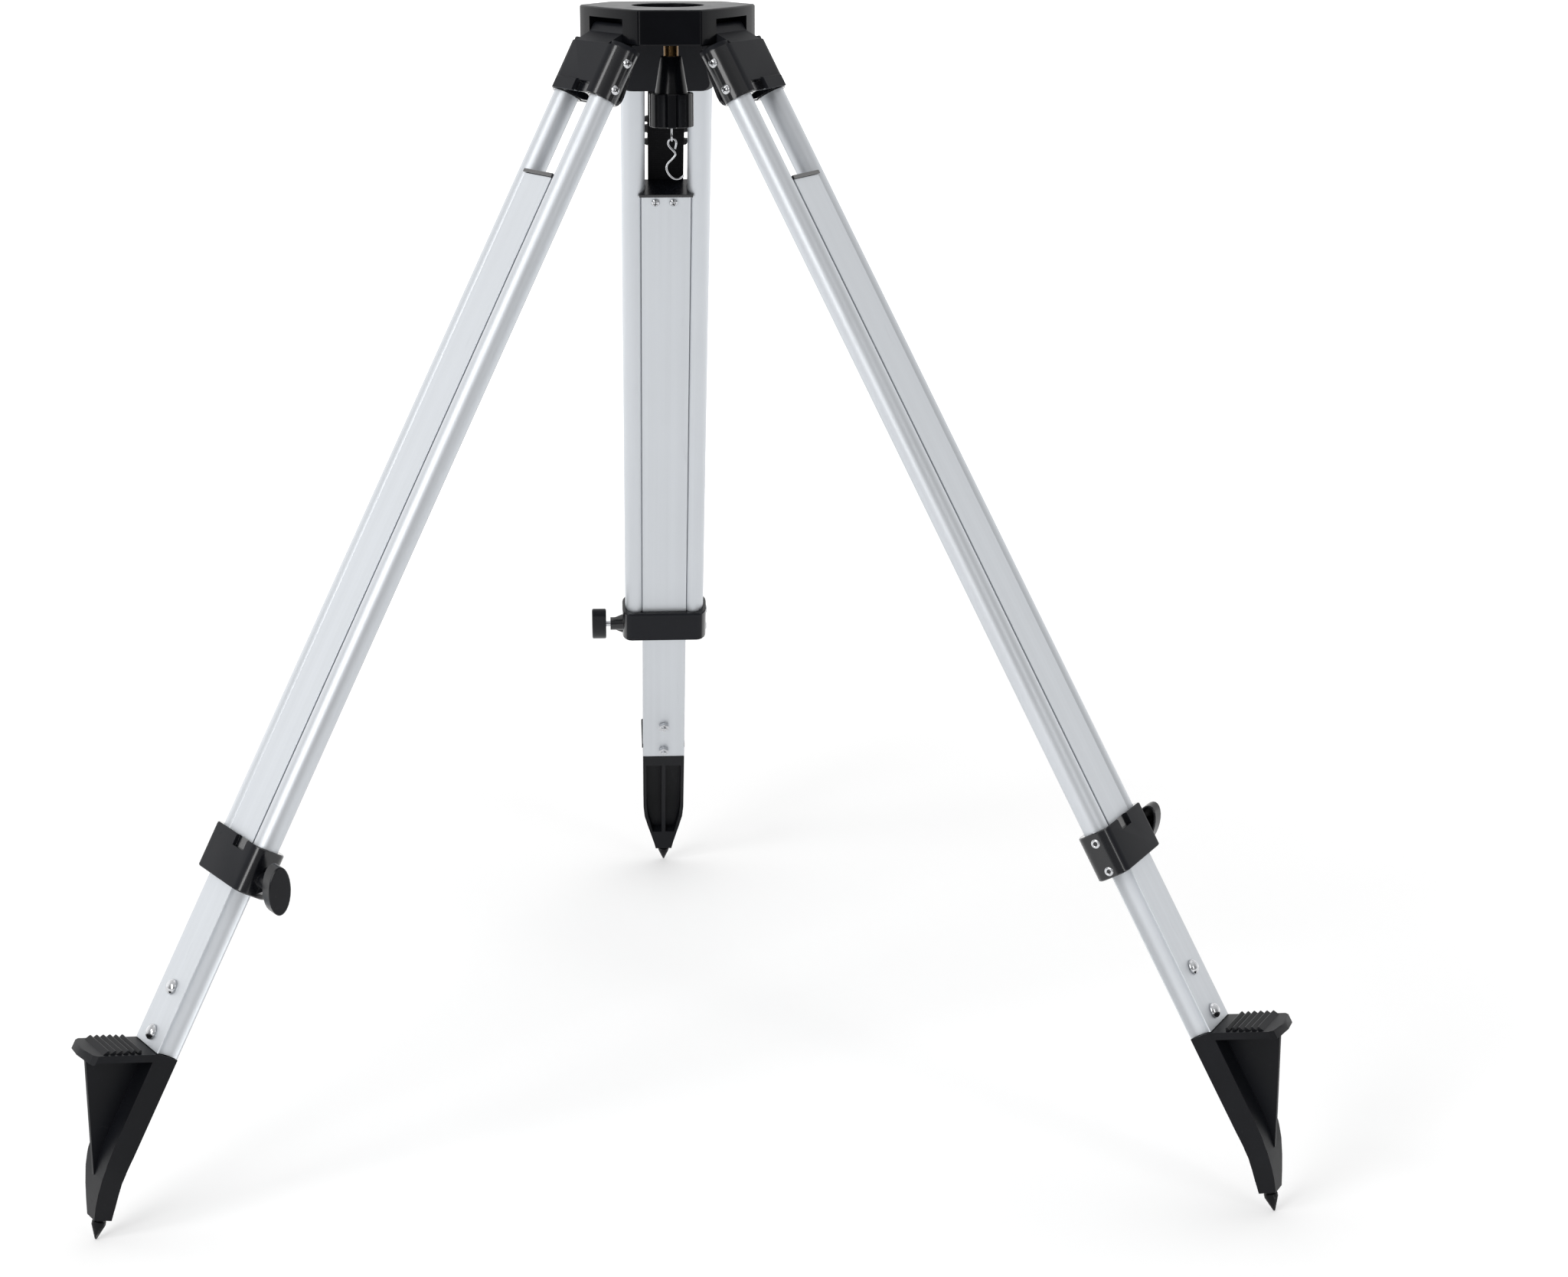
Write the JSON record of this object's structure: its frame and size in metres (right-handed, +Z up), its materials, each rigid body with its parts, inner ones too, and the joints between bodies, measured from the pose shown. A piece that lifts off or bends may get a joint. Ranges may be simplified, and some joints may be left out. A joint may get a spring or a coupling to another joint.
{
  "type": "surveyor tripod",
  "caption": "Surveyor tripod: flat head with a central hole and captive instrument screw, and telescopic twin-tube legs with clamp knobs, spiked feet and foot pedals.",
  "frame": {"origin": "centre of the bounding box at ground level, where the lowest spike stands", "axes": "+Z up, +Y towards the rear leg, +X to the right seen from the front"},
  "size_m": [1.036, 0.989, 1.01],
  "materials": {
    "aluminium": "satin anodised",
    "brass": "machined thread",
    "steel": "bright zinc plated",
    "black_metal": "black coated",
    "head_black": "semi-gloss moulded",
    "black_plastic": "semi-gloss moulded",
    "webbing": "woven webbing"
  },
  "bodies": {
    "head": {"head_plate": "head_black", "hinge_pin_rear": "steel", "hinge_pin_left": "steel", "hinge_pin_right": "steel", "arm_pivot_bolt": "steel"},
    "screw_arm": {"screw_arm": "black_metal"},
    "screw_bush": {"screw_bush": "black_plastic"},
    "stud_ring": {"stud_ring": "steel"},
    "centre_screw": {"centre_stud": "brass", "screw_knob": "black_plastic", "hook_pin": "steel"},
    "s_hook": {"s_hook": "steel"},
    "rear_leg": {"hinge_housing_rear": "black_plastic", "upper_tube_a_rear": "aluminium", "upper_tube_b_rear": "aluminium", "clamp_collar_rear": "black_plastic", "strap_webbing": "webbing", "strap_buckle": "black_plastic"},
    "rear_clamp": {"clamp_screw_rear": "steel", "clamp_knob_rear": "black_plastic"},
    "rear_lower_leg": {"lower_profile_rear": "aluminium", "top_cap_rear": "black_plastic", "foot_shoe_rear": "black_plastic", "foot_spike_rear": "black_metal", "foot_bolt_1_rear": "steel", "foot_bolt_2_rear": "steel"},
    "left_leg": {"hinge_housing_left": "black_plastic", "upper_tube_a_left": "aluminium", "upper_tube_b_left": "aluminium", "clamp_collar_left": "black_plastic"},
    "left_clamp": {"clamp_screw_left": "steel", "clamp_knob_left": "black_plastic"},
    "left_lower_leg": {"lower_profile_left": "aluminium", "top_cap_left": "black_plastic", "foot_shoe_left": "black_plastic", "foot_spike_left": "black_metal", "foot_bolt_1_left": "steel", "foot_bolt_2_left": "steel"},
    "right_leg": {"hinge_housing_right": "black_plastic", "upper_tube_a_right": "aluminium", "upper_tube_b_right": "aluminium", "clamp_collar_right": "black_plastic"},
    "right_clamp": {"clamp_screw_right": "steel", "clamp_knob_right": "black_plastic"},
    "right_lower_leg": {"lower_profile_right": "aluminium", "top_cap_right": "black_plastic", "foot_shoe_right": "black_plastic", "foot_spike_right": "black_metal", "foot_bolt_1_right": "steel", "foot_bolt_2_right": "steel"}
  },
  "joints": [
    {"name": "arm_swing", "type": "hinge", "parent": "head", "child": "screw_arm", "pos_m": [-0.0465, -0.15549, 0.98616], "axis": [0, 0, 1], "range_deg": [-13, 11]},
    {"name": "bush_slide", "type": "slide", "parent": "screw_arm", "child": "screw_bush", "axis": [0.8773, -0.4799, 0], "range_m": [-0.014, 0.012]},
    {"name": "screw_lift", "type": "slide", "parent": "screw_bush", "child": "stud_ring", "axis": [0, 0, 1], "range_m": [0, 0.013]},
    {"name": "screw_turn", "type": "hinge", "parent": "stud_ring", "child": "centre_screw", "pos_m": [-0.0008, -0.18049, 0.94996], "axis": [0, 0, 1], "continuous": true},
    {"name": "hook_swing", "type": "hinge", "parent": "centre_screw", "child": "s_hook", "pos_m": [-0.0008, -0.18049, 0.89556], "axis": [1, 0, 0], "range_deg": [-70, 70]},
    {"name": "rear_leg_spread", "type": "hinge", "parent": "head", "child": "rear_leg", "pos_m": [-0.00319, -0.12648, 0.99026], "axis": [-1, 0, 0], "range_deg": [-4, 33.1]},
    {"name": "rear_leg_extend", "type": "slide", "parent": "rear_leg", "child": "rear_lower_leg", "axis": [0, 0.5461, -0.8377], "range_m": [-0.1179, 0.513]},
    {"name": "rear_clamp_turn", "type": "hinge", "parent": "rear_leg", "child": "rear_clamp", "pos_m": [-0.05319, 0.29685, 0.33393], "axis": [-1, 0, 0], "range_deg": [-30, 300]},
    {"name": "left_leg_spread", "type": "hinge", "parent": "head", "child": "left_leg", "pos_m": [-0.04996, -0.20749, 0.99026], "axis": [0.5, -0.866, 0], "range_deg": [-4, 29.07]},
    {"name": "left_leg_extend", "type": "slide", "parent": "left_leg", "child": "left_lower_leg", "axis": [-0.4208, -0.2429, -0.874], "range_m": [-0.0709, 0.56]},
    {"name": "left_clamp_turn", "type": "hinge", "parent": "left_leg", "child": "left_clamp", "pos_m": [-0.35069, -0.43885, 0.30578], "axis": [0.5, -0.866, 0], "range_deg": [-30, 300]},
    {"name": "right_leg_spread", "type": "hinge", "parent": "head", "child": "right_leg", "pos_m": [0.04357, -0.20749, 0.99026], "axis": [0.5, 0.866, 0], "range_deg": [-4, 29.45]},
    {"name": "right_leg_extend", "type": "slide", "parent": "right_leg", "child": "right_lower_leg", "axis": [0.4257, -0.2458, -0.8708], "range_m": [-0.0749, 0.556]},
    {"name": "right_clamp_turn", "type": "hinge", "parent": "right_leg", "child": "right_clamp", "pos_m": [0.3982, -0.3545, 0.30828], "axis": [0.5, 0.866, 0], "range_deg": [-30, 300]}
  ]
}
